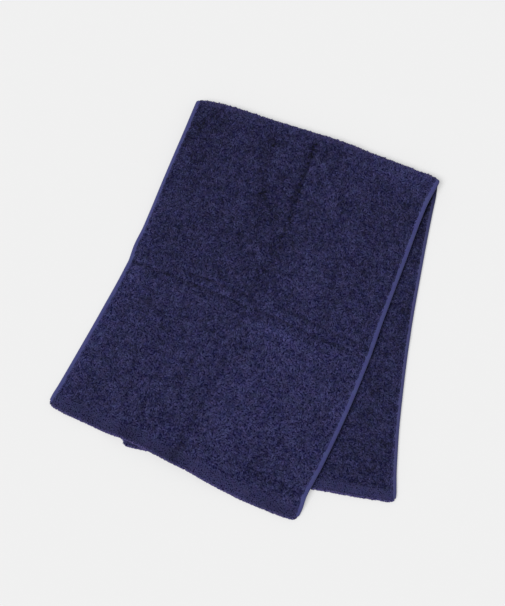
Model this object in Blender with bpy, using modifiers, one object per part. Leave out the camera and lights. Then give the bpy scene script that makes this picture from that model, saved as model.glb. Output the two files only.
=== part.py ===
"""A terry face towel, folded once across its length and lying on a table.

The upper layer lies a little askew over the lower one, so that the lower layer shows as a wedge
along the right-hand side. A smooth narrow tape is bound over each long side. The row frame has
its origin on the table under the middle of the footprint, X along the fold, Y from the loose ends
to the fold and Z up.
"""

import math
from collections import namedtuple

import bmesh
import bpy
from mathutils import Vector

# Driving dimensions, in metres.
TOWEL_WIDTH = 0.340
HALF_LENGTH = 0.450
CLOTH_THICKNESS = 0.0045
SELVAGE_THICKNESS = 0.0012
LAYER_GAP = 0.0020
FOLD_RADIUS = 0.0042
FOLD_EASE = 0.0300

# The tape that is bound over each long side.
TAPE_WIDTH = 0.0065
TAPE_THICKNESS = 0.0008
TAPE_HALF_HEIGHT = 0.00135
TAPE_TURN = 0.0016
TAPE_SHOULDER = 0.45
TAPE_END_INSET = 0.0036

# The cloth inside the tape, and the ramp from the selvage up to the full pile.
SELVAGE_INSET = 0.0013
SELVAGE_WIDTH = 0.0069
PILE_RAMP = 0.0020

# The turned hem at each end.
HEM_DEPTH = 0.0220
HEM_GROOVE = 0.80
HEM_GROOVE_WIDTH = 0.0020
END_ROUNDING = 0.0030
END_THINNING = 0.55
CORNER_DEPTH = 0.0022
CORNER_RAMP = 0.0010
CORNER_EASE = 0.0045
CORNER_REACH = 0.0100

# How the upper layer comes down to the table past the lower one's edges.
EDGE_CLEARANCE = 0.0050
DROP_LENGTH = 0.0280

# The towel is loose, so the upper layer is nowhere quite level.
WAVE_HEIGHT = 0.0010

# How far apart the rows and columns of points are: close together at the hems, at the creases and
# near the fold.
FOLD_STEPS = 8
ROW_STEP = 0.0150
COLUMN_STEP = 0.0150
CREASE_STEP = 0.0060
HEM_STEP = 0.0030
NEAR_FOLD_STEP = 0.0090
SLOPE_STEP = 0.0020

CLOTH_COLOUR = (0.022, 0.022, 0.066, 1.0)
TAPE_COLOUR = (0.052, 0.050, 0.185, 1.0)

# Plan of a layer's two long sides. v runs from 0 at the fold to 1 at the loose end. The x columns
# are shares of the towel's width and the y columns shares of half its length.
Side = namedtuple("Side", "v left_x left_y right_x right_y")
UPPER_SIDES = (
    Side(0.00, -0.500, 0.000, 0.504, 0.000),
    Side(0.08, -0.503, -0.078, 0.486, -0.084),
    Side(0.25, -0.511, -0.247, 0.476, -0.262),
    Side(0.42, -0.518, -0.413, 0.466, -0.440),
    Side(0.48, -0.525, -0.472, 0.464, -0.503),
    Side(0.54, -0.524, -0.531, 0.462, -0.567),
    Side(0.70, -0.550, -0.690, 0.446, -0.737),
    Side(0.85, -0.578, -0.840, 0.420, -0.897),
    Side(0.93, -0.594, -0.922, 0.400, -0.985),
    Side(0.97, -0.603, -0.963, 0.400, -1.030),
    Side(1.00, -0.606, -0.995, 0.395, -1.063),
)
LOWER_SIDES = (
    Side(0.00, -0.500, 0.000, 0.504, 0.000),
    Side(0.10, -0.485, -0.103, 0.516, -0.094),
    Side(0.25, -0.462, -0.258, 0.540, -0.234),
    Side(0.50, -0.415, -0.516, 0.581, -0.469),
    Side(0.75, -0.359, -0.773, 0.637, -0.703),
    Side(0.90, -0.322, -0.928, 0.680, -0.840),
    Side(0.96, -0.305, -0.990, 0.699, -0.895),
    Side(1.00, -0.294, -1.031, 0.705, -0.931),
)

# How far the crown of the fold and the two loose ends lie outside the straight lines between their
# corners. u is a share of the width from the left-hand side.
Edge = namedtuple("Edge", "u out")
FOLD_LINE = (
    Edge(0.00, 0.0000),
    Edge(0.03, 0.0033),
    Edge(0.08, 0.0062),
    Edge(0.15, 0.0075),
    Edge(0.30, 0.0075),
    Edge(0.45, 0.0084),
    Edge(0.60, 0.0092),
    Edge(0.70, 0.0070),
    Edge(0.80, 0.0054),
    Edge(0.90, 0.0034),
    Edge(0.96, 0.0027),
    Edge(1.00, 0.0000),
)
UPPER_END = (
    Edge(0.00, 0.0000),
    Edge(0.08, 0.0013),
    Edge(0.16, 0.0010),
    Edge(0.24, 0.0010),
    Edge(0.32, -0.0013),
    Edge(0.40, -0.0010),
    Edge(0.50, 0.0006),
    Edge(0.57, 0.0011),
    Edge(0.64, 0.0032),
    Edge(0.70, 0.0042),
    Edge(0.78, 0.0050),
    Edge(0.86, 0.0043),
    Edge(0.93, 0.0028),
    Edge(1.00, 0.0000),
)
LOWER_END = (
    Edge(0.00, 0.0000),
    Edge(0.25, 0.0007),
    Edge(0.50, 0.0023),
    Edge(0.70, 0.0030),
    Edge(0.80, 0.0026),
    Edge(0.88, 0.0022),
    Edge(0.94, 0.0008),
    Edge(1.00, 0.0000),
)
LOWER_END_MOST = max(row.out for row in LOWER_END)

# Creases left from packing, on lines between two places of a layer: u is a share of the width
# from the left-hand side and v as above. A trough has a negative height.
Crease = namedtuple("Crease", "u0 v0 u1 v1 height width")
UPPER_CREASES = (
    Crease(0.500, 0.03, 0.500, 0.30, -0.0014, 0.0070),
    Crease(0.500, 0.30, 0.500, 0.52, -0.0009, 0.0090),
    Crease(0.500, 0.70, 0.500, 1.00, -0.0007, 0.0110),
    Crease(0.320, 0.03, 0.350, 0.16, -0.0008, 0.0100),
    Crease(0.350, 0.16, 0.480, 0.36, -0.0008, 0.0100),
    Crease(0.000, 0.50, 0.450, 0.51, 0.0014, 0.0090),
    Crease(0.450, 0.51, 1.000, 0.53, 0.0018, 0.0090),
)
LOWER_CREASES = (Crease(0.000, 0.50, 1.000, 0.50, 0.0007, 0.0090),)

# Long shallow waves of the upper layer: how many lie across the width and along the layer.
Wave = namedtuple("Wave", "across along phase share")
WAVES = (
    Wave(1.3, 0.8, 0.4, 0.40),
    Wave(-0.9, 2.1, 1.9, 0.35),
    Wave(2.6, 1.4, 4.1, 0.25),
)


def smoothstep(x):
    """0 below 0, 1 above 1, and an even rise between."""
    x = min(max(x, 0.0), 1.0)
    return x * x * (3.0 - 2.0 * x)


def table_value(rows, place, column):
    """A column of a table at a place in its first column, on a smooth curve through its rows."""
    last = len(rows) - 2
    i = min(max(k for k in range(last + 1) if rows[k][0] <= place or k == 0), last)
    a, b = rows[i], rows[i + 1]
    before, after = rows[max(i - 1, 0)], rows[min(i + 2, last + 1)]
    span = b[0] - a[0]
    t = (place - a[0]) / span
    p, q = getattr(a, column), getattr(b, column)
    slope_a = (q - getattr(before, column)) / (b[0] - before[0]) * span
    slope_b = (getattr(after, column) - p) / (after[0] - a[0]) * span
    return (
        p * (2 * t**3 - 3 * t**2 + 1)
        + slope_a * (t**3 - 2 * t**2 + t)
        + q * (3 * t**2 - 2 * t**3)
        + slope_b * (t**3 - t**2)
    )


def fold_y(u):
    """Where the flat of a layer begins at the fold, which bows out unevenly."""
    return table_value(FOLD_LINE, u, "out") - FOLD_RADIUS - CLOTH_THICKNESS / 2


def fold_x(u):
    """Where a point of the fold lies across the towel."""
    start = UPPER_SIDES[0]
    return (start.left_x + (start.right_x - start.left_x) * u) * TOWEL_WIDTH


def plan(sides, end_line, u, v):
    """The place in plan of a point of a layer, from the middle of the fold."""
    left = Vector((table_value(sides, v, "left_x"), table_value(sides, v, "left_y")))
    right = Vector((table_value(sides, v, "right_x"), table_value(sides, v, "right_y")))
    share = left.lerp(right, u)
    x = share.x * TOWEL_WIDTH
    y = share.y * HALF_LENGTH + (1.0 - v) * fold_y(u)
    from_side = min(u, 1.0 - u) * TOWEL_WIDTH
    ease = CORNER_EASE * max(0.0, 1.0 - from_side / CORNER_REACH) ** 2
    from_end = (1.0 - v) * HALF_LENGTH
    near_end = max(0.0, 1.0 - from_end / HEM_DEPTH)
    y -= table_value(end_line, u, "out") * v * v
    y += ease * near_end
    return x, y


def crease_height(creases, u, v):
    """The rise of a layer at its creases: the highest ridge there and the deepest trough."""
    at = Vector((u * TOWEL_WIDTH, v * HALF_LENGTH))
    ridge, trough = 0.0, 0.0
    for crease in creases:
        start = Vector((crease.u0 * TOWEL_WIDTH, crease.v0 * HALF_LENGTH))
        along = Vector((crease.u1 * TOWEL_WIDTH, crease.v1 * HALF_LENGTH)) - start
        share = min(max((at - start).dot(along) / along.length_squared, 0.0), 1.0)
        away = (at - start - along * share).length
        rise = crease.height * math.exp(-((away / crease.width) ** 2))
        ridge = max(ridge, rise)
        trough = min(trough, rise)
    return ridge + trough


def wave_height(u, v):
    """The rise of the loose upper layer, from 0 to WAVE_HEIGHT."""
    total = sum(
        wave.share * math.sin(2 * math.pi * (wave.across * u + wave.along * v) + wave.phase)
        for wave in WAVES
    )
    return WAVE_HEIGHT * (0.5 + 0.5 * total)


def cover(x, y):
    """1 where the upper layer is carried by the lower one, and 0 where it is down on the table."""
    v = min(max(-y / HALF_LENGTH, 0.0), 1.0)
    left_edge = table_value(LOWER_SIDES, v, "left_x") * TOWEL_WIDTH
    end = LOWER_SIDES[-1]
    slope = (end.right_y - end.left_y) * HALF_LENGTH / ((end.right_x - end.left_x) * TOWEL_WIDTH)
    end_line = end.left_y * HALF_LENGTH + slope * (x - end.left_x * TOWEL_WIDTH)
    inside_left = x - left_edge
    inside_end = y - end_line + LOWER_END_MOST
    return smoothstep((inside_left + EDGE_CLEARANCE + DROP_LENGTH) / DROP_LENGTH) * smoothstep(
        (inside_end + EDGE_CLEARANCE + DROP_LENGTH) / DROP_LENGTH
    )


def upper_point(u, v):
    """A point of the upper layer's middle surface."""
    x, y = plan(UPPER_SIDES, UPPER_END, u, v)
    at_fold = math.exp(-((v * HALF_LENGTH / FOLD_EASE) ** 2))
    resting = CLOTH_THICKNESS + LAYER_GAP
    lift = resting + (2 * FOLD_RADIUS - resting) * at_fold
    loose = crease_height(UPPER_CREASES, u, v) + wave_height(u, v)
    held = cover(x, y)
    height = held * (lift + loose * (1.0 - at_fold))
    height += (1.0 - held) * max(loose, 0.0)
    return Vector((x, y, CLOTH_THICKNESS / 2 + height))


def lower_point(u, v):
    """A point of the lower layer's middle surface."""
    x, y = plan(LOWER_SIDES, LOWER_END, u, v)
    return Vector((x, y, CLOTH_THICKNESS / 2 + crease_height(LOWER_CREASES, u, v)))


def cloth_point(u, s):
    """A point of the cloth's middle surface. s runs from 0 at the upper layer's end to 1 at the
    fold, round the fold to 2, and on to 3 at the lower layer's end."""
    if s <= 1.0:
        return upper_point(u, 1.0 - s)
    if s >= 2.0:
        return lower_point(u, s - 2.0)
    turn = math.pi * (s - 1.0)
    y = fold_y(u) + FOLD_RADIUS * math.sin(turn)
    z = CLOTH_THICKNESS / 2 + FOLD_RADIUS * (1.0 + math.cos(turn))
    return Vector((fold_x(u), y, z))


def cloth_normal(u, s):
    """The cloth's normal: up on the upper layer, outwards at the fold, down on the lower."""
    right, left = min(u + SLOPE_STEP, 1.0), max(u - SLOPE_STEP, 0.0)
    across = cloth_point(right, s) - cloth_point(left, s)
    along = cloth_point(u, min(s + SLOPE_STEP, 3.0)) - cloth_point(u, max(s - SLOPE_STEP, 0.0))
    return across.cross(along).normalized()


def spread(start, stop, step):
    """Even places from start to stop, about a step apart."""
    count = max(1, round((stop - start) / step))
    return [start + (stop - start) * i / count for i in range(count + 1)]


def layer_rows():
    """Distances from a layer's end at which the cloth has a row of points."""
    crease = HALF_LENGTH / 2
    near_fold = HALF_LENGTH - 4 * NEAR_FOLD_STEP
    end = [0.0, END_ROUNDING / 2, CORNER_DEPTH + CORNER_RAMP, END_ROUNDING * 1.5]
    hem = [HEM_DEPTH - HEM_STEP, HEM_DEPTH, HEM_DEPTH + HEM_STEP]
    below = spread(HEM_DEPTH + 3 * HEM_STEP, crease - 4 * CREASE_STEP, ROW_STEP)
    around = spread(crease - 3 * CREASE_STEP, crease + 3 * CREASE_STEP, CREASE_STEP)
    above = spread(crease + 4 * CREASE_STEP, near_fold - NEAR_FOLD_STEP, ROW_STEP)
    to_fold = spread(near_fold, HALF_LENGTH, NEAR_FOLD_STEP)
    return end + hem + below + around + above + to_fold


def cloth_rows():
    """The values of s at which the cloth has a row of points, from end to end."""
    layer = [distance / HALF_LENGTH for distance in layer_rows()]
    fold = [1.0 + i / FOLD_STEPS for i in range(1, FOLD_STEPS)]
    return layer + fold + [3.0 - share for share in reversed(layer)]


def cloth_columns():
    """Distances from the left-hand side at which the cloth has a column of points."""
    half = TOWEL_WIDTH / 2
    pile = SELVAGE_WIDTH + PILE_RAMP
    edge = [SELVAGE_INSET, SELVAGE_WIDTH, pile]
    flat = spread(pile + COLUMN_STEP / 2, half - 4 * CREASE_STEP, COLUMN_STEP)
    crease = spread(half - 2 * CREASE_STEP, half, CREASE_STEP)
    left = edge + flat + crease
    return left + [TOWEL_WIDTH - place for place in reversed(left[:-1])]


def thickness_share(u, s):
    """The cloth's thickness there as a share of the full one: thin inside the tape but not at the
    corners past it, rounded at the ends and drawn in where the hem is sewn down."""
    from_side = min(u, 1.0 - u) * TOWEL_WIDTH
    from_end = min(s, 3.0 - s) * HALF_LENGTH
    rise = smoothstep((from_side - SELVAGE_WIDTH) / PILE_RAMP)
    rise = max(rise, 1.0 - smoothstep((from_end - CORNER_DEPTH) / CORNER_RAMP))
    thin = SELVAGE_THICKNESS / CLOTH_THICKNESS
    rounded = END_THINNING + (1.0 - END_THINNING) * smoothstep(from_end / END_ROUNDING)
    groove = 1.0 - (1.0 - HEM_GROOVE) * math.exp(-(((from_end - HEM_DEPTH) / HEM_GROOVE_WIDTH) ** 2))
    return thin + (rounded * groove - thin) * rise


def grid_object(name, columns, rows, place, material):
    """A surface of columns by rows of points, each put where place(column, row) says."""
    mesh = bpy.data.meshes.new(name)
    grid = bmesh.new()
    bmesh.ops.create_grid(grid, x_segments=columns - 1, y_segments=rows - 1, size=1.0)
    for vertex in grid.verts:
        column = round((vertex.co.x + 1.0) / 2.0 * (columns - 1))
        row = round((vertex.co.y + 1.0) / 2.0 * (rows - 1))
        vertex.co = place(column, row)
    bmesh.ops.recalc_face_normals(grid, faces=grid.faces)
    grid.to_mesh(mesh)
    grid.free()
    mesh.materials.append(material)
    mesh.shade_smooth()
    thing = bpy.data.objects.new(name, mesh)
    return thing


def add_thickness(thing, thickness, group=""):
    """Solidify about the middle surface, by the shares in the vertex group if one is named."""
    solid = thing.modifiers.new("thickness", "SOLIDIFY")
    solid.thickness = thickness
    solid.offset = 0.0
    solid.use_rim = True
    solid.vertex_group = group


def make_material(name, colour, roughness):
    material = bpy.data.materials.new(name)
    material.use_nodes = True
    shader = material.node_tree.nodes["Principled BSDF"]
    shader.inputs["Base Color"].default_value = colour
    shader.inputs["Roughness"].default_value = roughness
    shader.inputs["Metallic"].default_value = 0.0
    return material


def make_cloth(material):
    """The terry cloth, one length from the upper layer's end round the fold to the lower's."""
    columns, rows = cloth_columns(), cloth_rows()
    order = []

    def place(column, row):
        u, s = columns[column] / TOWEL_WIDTH, rows[row]
        order.append((u, s))
        return cloth_point(u, s)

    cloth = grid_object("terry_cloth", len(columns), len(rows), place, material)
    group = cloth.vertex_groups.new(name="pile")
    for index, (u, s) in enumerate(order):
        group.add([index], thickness_share(u, s), "REPLACE")
    add_thickness(cloth, CLOTH_THICKNESS, group.name)
    return cloth


def tape_profile():
    """The tape's section from its upper inner edge over the towel's side to its lower one, as
    distances in from the side and heights over the cloth's middle."""
    high, outer = TAPE_HALF_HEIGHT, TAPE_THICKNESS / 2
    upper = [(TAPE_WIDTH, high), (TAPE_TURN, high), (outer, high * TAPE_SHOULDER)]
    return upper + [(inward, -height) for inward, height in reversed(upper)]


def make_tape(name, right_hand, material):
    """The tape bound over one long side, along both layers and round the fold."""
    profile = tape_profile()
    inset = TAPE_END_INSET / HALF_LENGTH
    inner = [s for s in cloth_rows() if inset < s < 3.0 - inset]
    rows = [inset] + inner + [3.0 - inset]

    def place(column, row):
        inward, height = profile[column]
        share = inward / TOWEL_WIDTH
        u, s = (1.0 - share if right_hand else share), rows[row]
        return cloth_point(u, s) + cloth_normal(u, s) * height

    tape = grid_object(name, len(profile), len(rows), place, material)
    add_thickness(tape, TAPE_THICKNESS)
    return tape


def footprint_centre(things):
    """The middle, in plan, of the box round all the pieces."""
    view = bpy.context.evaluated_depsgraph_get()
    corners = [
        thing.matrix_world @ Vector(corner)
        for thing in things
        for corner in thing.evaluated_get(view).bound_box
    ]
    low = [min(corner[axis] for corner in corners) for axis in range(2)]
    high = [max(corner[axis] for corner in corners) for axis in range(2)]
    return Vector(((low[0] + high[0]) / 2, (low[1] + high[1]) / 2, 0.0))


def main():
    for thing in list(bpy.data.objects):
        bpy.data.objects.remove(thing)
    terry = make_material("navy_terry", CLOTH_COLOUR, 0.95)
    binding = make_material("navy_tape", TAPE_COLOUR, 0.75)
    collection = bpy.data.collections.new("face_towel")
    bpy.context.scene.collection.children.link(collection)
    frame = bpy.data.objects.new("towel_frame", None)
    collection.objects.link(frame)
    pieces = [
        make_cloth(terry),
        make_tape("side_tape_left", False, binding),
        make_tape("side_tape_right", True, binding),
    ]
    for piece in pieces:
        collection.objects.link(piece)
        piece.parent = frame
    bpy.context.view_layer.update()
    frame.location = -footprint_centre(pieces)
    bpy.context.view_layer.update()


main()
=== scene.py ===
"""A navy terry face towel, folded once across its length and lying a little askew.

The ground cloth follows the folds of the solids. Every face carries looped pile, and each long side
has a smooth tape with its stitches. All sizes are in metres, in the frame of the solids.
"""

import math
from collections import namedtuple

import bpy
import numpy as np
from bpy.props import FloatProperty, FloatVectorProperty, PointerProperty
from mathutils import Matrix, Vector


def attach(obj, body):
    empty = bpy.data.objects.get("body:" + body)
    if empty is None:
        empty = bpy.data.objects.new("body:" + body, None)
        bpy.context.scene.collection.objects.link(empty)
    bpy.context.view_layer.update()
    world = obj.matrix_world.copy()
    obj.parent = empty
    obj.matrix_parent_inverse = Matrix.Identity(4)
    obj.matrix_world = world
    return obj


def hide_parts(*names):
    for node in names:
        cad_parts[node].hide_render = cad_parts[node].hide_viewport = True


bl_info = {
    "name": "Folded terry towel",
    "version": (1, 0, 0),
    "blender": (4, 5, 0),
    "location": "3D View > Sidebar > Towel",
    "description": "Ground cloth, looped pile, side tapes and stitches of a folded terry towel",
    "category": "Object",
}

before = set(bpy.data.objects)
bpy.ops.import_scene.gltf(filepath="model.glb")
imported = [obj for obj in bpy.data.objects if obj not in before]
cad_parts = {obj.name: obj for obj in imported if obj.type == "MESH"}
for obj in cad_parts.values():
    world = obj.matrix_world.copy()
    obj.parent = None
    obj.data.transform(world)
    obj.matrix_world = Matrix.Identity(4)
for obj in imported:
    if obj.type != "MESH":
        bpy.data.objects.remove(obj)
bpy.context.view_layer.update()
BODY = "root"

# The towel's own sizes, which the solids share.
TOWEL_WIDTH = 0.340
HALF_LENGTH = 0.450
CLOTH_THICKNESS = 0.0045
LAYER_GAP = 0.0020
FOLD_RADIUS = 0.0042
FOLD_EASE = 0.0300
CORNER_EASE = 0.0045
CORNER_REACH = 0.0100
EDGE_CLEARANCE = 0.0050
DROP_LENGTH = 0.0280
WAVE_HEIGHT = 0.0010
HEM_DEPTH = 0.0220
HEM_GROOVE = 0.80
HEM_GROOVE_WIDTH = 0.0020
END_ROUNDING = 0.0030
END_THINNING = 0.55
CORNER_DEPTH = 0.0022
CORNER_RAMP = 0.0010
SELVAGE_THICKNESS = 0.0012
SELVAGE_INSET = 0.0013
SELVAGE_WIDTH = 0.0069
PILE_RAMP = 0.0020
TAPE_WIDTH = 0.0065
TAPE_THICKNESS = 0.0008
TAPE_HALF_HEIGHT = 0.00135
TAPE_END_INSET = 0.0036

# The length of cloth that goes round the fold, at the cloth's middle, and the whole length.
FOLD_LENGTH = math.pi * FOLD_RADIUS
CLOTH_LENGTH = 2 * HALF_LENGTH + FOLD_LENGTH

# Plan of a layer's two long sides. v runs from 0 at the fold to 1 at the loose end. The x columns
# are shares of the towel's width and the y columns shares of half its length.
Side = namedtuple("Side", "v left_x left_y right_x right_y")
UPPER_SIDES = (
    Side(0.00, -0.500, 0.000, 0.504, 0.000),
    Side(0.08, -0.503, -0.078, 0.486, -0.084),
    Side(0.25, -0.511, -0.247, 0.476, -0.262),
    Side(0.42, -0.518, -0.413, 0.466, -0.440),
    Side(0.48, -0.525, -0.472, 0.464, -0.503),
    Side(0.54, -0.524, -0.531, 0.462, -0.567),
    Side(0.70, -0.550, -0.690, 0.446, -0.737),
    Side(0.85, -0.578, -0.840, 0.420, -0.897),
    Side(0.93, -0.594, -0.922, 0.400, -0.985),
    Side(0.97, -0.603, -0.963, 0.400, -1.030),
    Side(1.00, -0.606, -0.995, 0.395, -1.063),
)
LOWER_SIDES = (
    Side(0.00, -0.500, 0.000, 0.504, 0.000),
    Side(0.04, -0.494, -0.041, 0.512, -0.038),
    Side(0.10, -0.485, -0.103, 0.519, -0.094),
    Side(0.25, -0.462, -0.258, 0.540, -0.234),
    Side(0.50, -0.415, -0.516, 0.581, -0.469),
    Side(0.75, -0.359, -0.773, 0.637, -0.703),
    Side(0.90, -0.322, -0.928, 0.680, -0.840),
    Side(0.96, -0.306, -0.990, 0.701, -0.895),
    Side(1.00, -0.297, -1.032, 0.708, -0.929),
)

# How far the crown of the fold and the two loose ends lie outside the straight lines between their
# corners. u is a share of the width from the left-hand side.
Edge = namedtuple("Edge", "u out")
FOLD_LINE = (
    Edge(0.00, 0.0000),
    Edge(0.03, 0.0033),
    Edge(0.08, 0.0062),
    Edge(0.15, 0.0075),
    Edge(0.30, 0.0075),
    Edge(0.45, 0.0084),
    Edge(0.60, 0.0092),
    Edge(0.70, 0.0070),
    Edge(0.80, 0.0054),
    Edge(0.90, 0.0034),
    Edge(0.96, 0.0027),
    Edge(1.00, 0.0000),
)
UPPER_END = (
    Edge(0.00, 0.0000),
    Edge(0.08, 0.0013),
    Edge(0.16, 0.0010),
    Edge(0.24, 0.0010),
    Edge(0.32, -0.0013),
    Edge(0.40, -0.0010),
    Edge(0.50, 0.0006),
    Edge(0.57, 0.0011),
    Edge(0.64, 0.0032),
    Edge(0.70, 0.0042),
    Edge(0.78, 0.0050),
    Edge(0.86, 0.0043),
    Edge(0.93, 0.0028),
    Edge(1.00, 0.0000),
)
LOWER_END = (
    Edge(0.00, 0.0000),
    Edge(0.25, 0.0007),
    Edge(0.50, 0.0030),
    Edge(0.62, 0.0040),
    Edge(0.70, 0.0040),
    Edge(0.76, 0.0029),
    Edge(0.82, 0.0025),
    Edge(0.88, 0.0018),
    Edge(0.94, 0.0004),
    Edge(1.00, 0.0000),
)
LOWER_END_MOST = max(row.out for row in LOWER_END)

# Creases left from packing, on lines between two places of a layer: u is a share of the width
# from the left-hand side and v as above. A trough has a negative height.
Crease = namedtuple("Crease", "u0 v0 u1 v1 height width")
UPPER_CREASES = (
    Crease(0.512, 0.015, 0.518, 0.10, -0.0018, 0.0060),
    Crease(0.518, 0.10, 0.538, 0.28, -0.0016, 0.0046),
    Crease(0.538, 0.28, 0.520, 0.37, -0.0014, 0.0075),
    Crease(0.520, 0.37, 0.515, 0.50, -0.0009, 0.0100),
    Crease(0.350, 0.02, 0.365, 0.12, -0.0008, 0.0080),
    Crease(0.370, 0.15, 0.410, 0.22, -0.0012, 0.0080),
    Crease(0.410, 0.22, 0.515, 0.31, -0.0008, 0.0110),
    Crease(0.580, 0.08, 0.670, 0.17, 0.0006, 0.0060),
    Crease(0.050, 0.502, 0.480, 0.508, -0.0006, 0.0030),
    Crease(0.600, 0.503, 1.000, 0.512, -0.0006, 0.0032),
    Crease(0.000, 0.530, 0.500, 0.537, -0.0010, 0.0032),
    Crease(0.540, 0.535, 1.000, 0.542, -0.0010, 0.0032),
    Crease(0.000, 0.565, 0.500, 0.568, 0.0003, 0.0070),
    Crease(0.540, 0.568, 0.800, 0.572, 0.0013, 0.0075),
    Crease(0.440, 0.580, 0.410, 0.760, -0.0006, 0.0046),
    Crease(0.295, 0.600, 0.345, 0.700, -0.0006, 0.0050),
    Crease(0.520, 0.690, 0.515, 1.000, -0.0007, 0.0060),
    Crease(0.630, 0.700, 0.620, 0.880, 0.0005, 0.0090),
    Crease(0.780, 0.918, 0.950, 0.928, -0.0009, 0.0060),
)
LOWER_CREASES = (Crease(0.000, 0.50, 1.000, 0.50, 0.0007, 0.0090),)

# Long shallow waves of the upper layer: how many lie across the width and along the layer.
Wave = namedtuple("Wave", "across along phase share")
WAVES = (
    Wave(1.3, 0.8, 0.4, 0.40),
    Wave(-0.9, 2.1, 1.9, 0.35),
    Wave(2.6, 1.4, 4.1, 0.25),
)

# Patches of painted light and shade on the upper layer's pile, darker where it would lie open and
# lighter where it would
# lie pressed towards the light: u and v of the middle, how far it reaches each way, and the share by
# which it changes.
PaintedLightPatch = namedtuple("PaintedLightPatch", "u v across along tone")
PAINTED_LIGHT_PATCHES = (
    PaintedLightPatch(0.05, 0.08, 0.028, 0.055, -0.20),
    PaintedLightPatch(0.34, 0.07, 0.016, 0.035, -0.12),
    PaintedLightPatch(0.42, 0.22, 0.030, 0.045, -0.16),
    PaintedLightPatch(0.85, 0.16, 0.035, 0.016, -0.14),
    PaintedLightPatch(0.45, 0.26, 0.018, 0.014, -0.10),
    PaintedLightPatch(0.40, 0.35, 0.045, 0.030, -0.06),
    PaintedLightPatch(0.64, 0.08, 0.014, 0.012, -0.12),
    PaintedLightPatch(0.77, 0.25, 0.018, 0.022, 0.16),
    PaintedLightPatch(0.63, 0.35, 0.014, 0.020, 0.10),
    PaintedLightPatch(0.70, 0.43, 0.028, 0.018, 0.22),
    PaintedLightPatch(0.95, 0.40, 0.018, 0.045, 0.16),
    PaintedLightPatch(0.68, 0.525, 0.050, 0.010, 0.12),
    PaintedLightPatch(0.67, 0.568, 0.034, 0.009, 0.16),
    PaintedLightPatch(0.60, 0.78, 0.014, 0.080, 0.10),
    PaintedLightPatch(0.53, 0.63, 0.010, 0.030, -0.06),
    PaintedLightPatch(0.82, 0.920, 0.045, 0.010, -0.16),
    PaintedLightPatch(0.07, 0.965, 0.018, 0.010, 0.10),
    PaintedLightPatch(0.23, 0.962, 0.022, 0.009, 0.20),
    PaintedLightPatch(0.315, 0.975, 0.010, 0.010, -0.26),
    PaintedLightPatch(0.40, 0.962, 0.016, 0.008, 0.12),
    PaintedLightPatch(0.51, 0.970, 0.012, 0.012, -0.16),
    PaintedLightPatch(0.60, 0.965, 0.018, 0.012, 0.12),
    PaintedLightPatch(0.38, 0.990, 0.040, 0.004, -0.16),
    PaintedLightPatch(0.10, 0.045, 0.022, 0.010, -0.14),
    PaintedLightPatch(0.20, 0.170, 0.016, 0.016, -0.10),
    PaintedLightPatch(0.21, 0.258, 0.040, 0.010, -0.12),
    PaintedLightPatch(0.31, 0.110, 0.008, 0.030, -0.10),
    PaintedLightPatch(0.35, 0.340, 0.010, 0.016, -0.12),
    PaintedLightPatch(0.58, 0.215, 0.012, 0.012, -0.12),
    PaintedLightPatch(0.60, 0.345, 0.012, 0.014, -0.14),
    PaintedLightPatch(0.60, 0.110, 0.012, 0.012, 0.12),
    PaintedLightPatch(0.95, 0.285, 0.010, 0.010, 0.12),
    PaintedLightPatch(0.50, 0.515, 0.010, 0.008, 0.12),
    PaintedLightPatch(0.87, 0.655, 0.025, 0.012, -0.12),
    PaintedLightPatch(0.10, 0.660, 0.020, 0.020, -0.10),
    PaintedLightPatch(0.31, 0.600, 0.010, 0.012, -0.14),
    PaintedLightPatch(0.22, 0.880, 0.012, 0.015, -0.12),
    PaintedLightPatch(0.53, 0.845, 0.014, 0.014, -0.12),
    PaintedLightPatch(0.90, 0.980, 0.030, 0.008, -0.20),
    PaintedLightPatch(0.90, 0.018, 0.050, 0.014, 0.36),
    PaintedLightPatch(0.30, 1.000, 0.100, 0.003, 0.32),
    PaintedLightPatch(0.035, 0.85, 0.014, 0.060, 0.26),
    PaintedLightPatch(0.030, 0.66, 0.010, 0.060, 0.26),
    PaintedLightPatch(0.030, 0.38, 0.009, 0.070, 0.14),
    PaintedLightPatch(0.050, 0.28, 0.012, 0.012, 0.16),
)
# Painted light where the cloth rises towards the light, and painted shade where it falls away and in a
# trough.
LIGHT_FROM = (0.63, 0.78)
SLOPE_PAINTED_LIGHT = 1.1
TROUGH_PAINTED_SHADE = 130.0
# Lines along the hem's rolled edge, each this far from the loose end.
Line = namedtuple("Line", "from_end width tone")
ROLL_LINES = (
    Line(0.0022, 0.0013, 0.36), Line(0.0046, 0.0009, -0.24), Line(0.0066, 0.0009, 0.20),
)
UPPER_ROLL_SHARE = 0.5

# Changes of tone in the hem's fine pile; painted light on the fuzz that stands out at the edges and
# along the crown of the fold, over so far above and below it; and changes of tone on the lower layer.
HEM_TONE = 0.01
FRINGE_PAINTED_LIGHT = 1.8
FOLD_RIM_PAINTED_LIGHT = 0.9
FOLD_RIM_LIGHT_REACH = (0.0055, 0.0020)
LOWER_TONE = -0.22
LOWER_HEM_TONE = 0.30

# The shade between the layers near the fold, on the pile and on the tapes.
SHADE_TONE = -0.70
SHADE_REACH = 0.060
EDGE_SHADE = 0.8
EDGE_SHADE_TURN = 0.003
TAPE_SHADE = 0.58
TAPE_SHADE_REACH = 0.064
TAPE_DEEP_SHADE = 0.40
TAPE_DEEP_REACH = 0.018

# The upper layer's pile changes its tone across the middle of the layer: the half by the fold is
# darker, painted shade.
# On the loose half the tone changes again from left to right, over the middle part of the width.
FOLD_HALF_PAINTED_SHADE = -0.18
LOOSE_LEFT_TONE = -0.08
LOOSE_RIGHT_TONE = 0.06
LOOSE_TURN_AT = 0.48
LOOSE_TURN_WIDTH = 0.20
TONE_STEP_AT = 0.544
TONE_STEP_REACH = 0.007

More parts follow.
